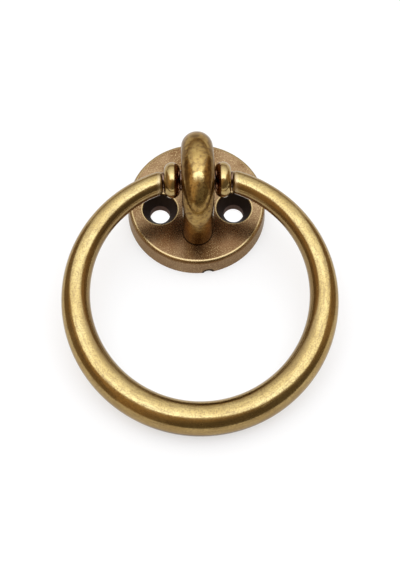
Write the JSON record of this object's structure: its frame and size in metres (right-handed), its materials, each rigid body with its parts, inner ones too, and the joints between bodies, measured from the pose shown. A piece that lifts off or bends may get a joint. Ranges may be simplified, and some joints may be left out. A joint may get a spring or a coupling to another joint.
{
  "type": "ring pull handle",
  "caption": "Ring pull for a drawer or cabinet door: a ring that thickens towards its lower end swings in an arched staple on a round plate with countersunk screw holes.",
  "frame": {"origin": "centre of the plate's back face, on the mounting surface", "axes": "+Z out of the mounting surface, -Y to where the ring hangs in use, X along the ring's neck"},
  "size_m": [0.0582, 0.0693, 0.0246],
  "materials": {
    "plate_brass": "dull antique brass, finely grained, with edges worn bright",
    "staple_brass": "worn antique brass, polished on the crown and dark at the foot",
    "ring_brass": "polished antique brass with darker patina in the grooves"
  },
  "bodies": {
    "base": {"backplate": "plate_brass", "staple": "staple_brass"},
    "ring": {"pull_ring": "ring_brass"}
  },
  "joints": [
    {"name": "ring_swing", "type": "hinge", "parent": "base", "child": "ring", "pos_m": [0, -0.00045, 0.01513], "axis": [-1, 0, 0], "range_deg": [0, 205.7]}
  ]
}
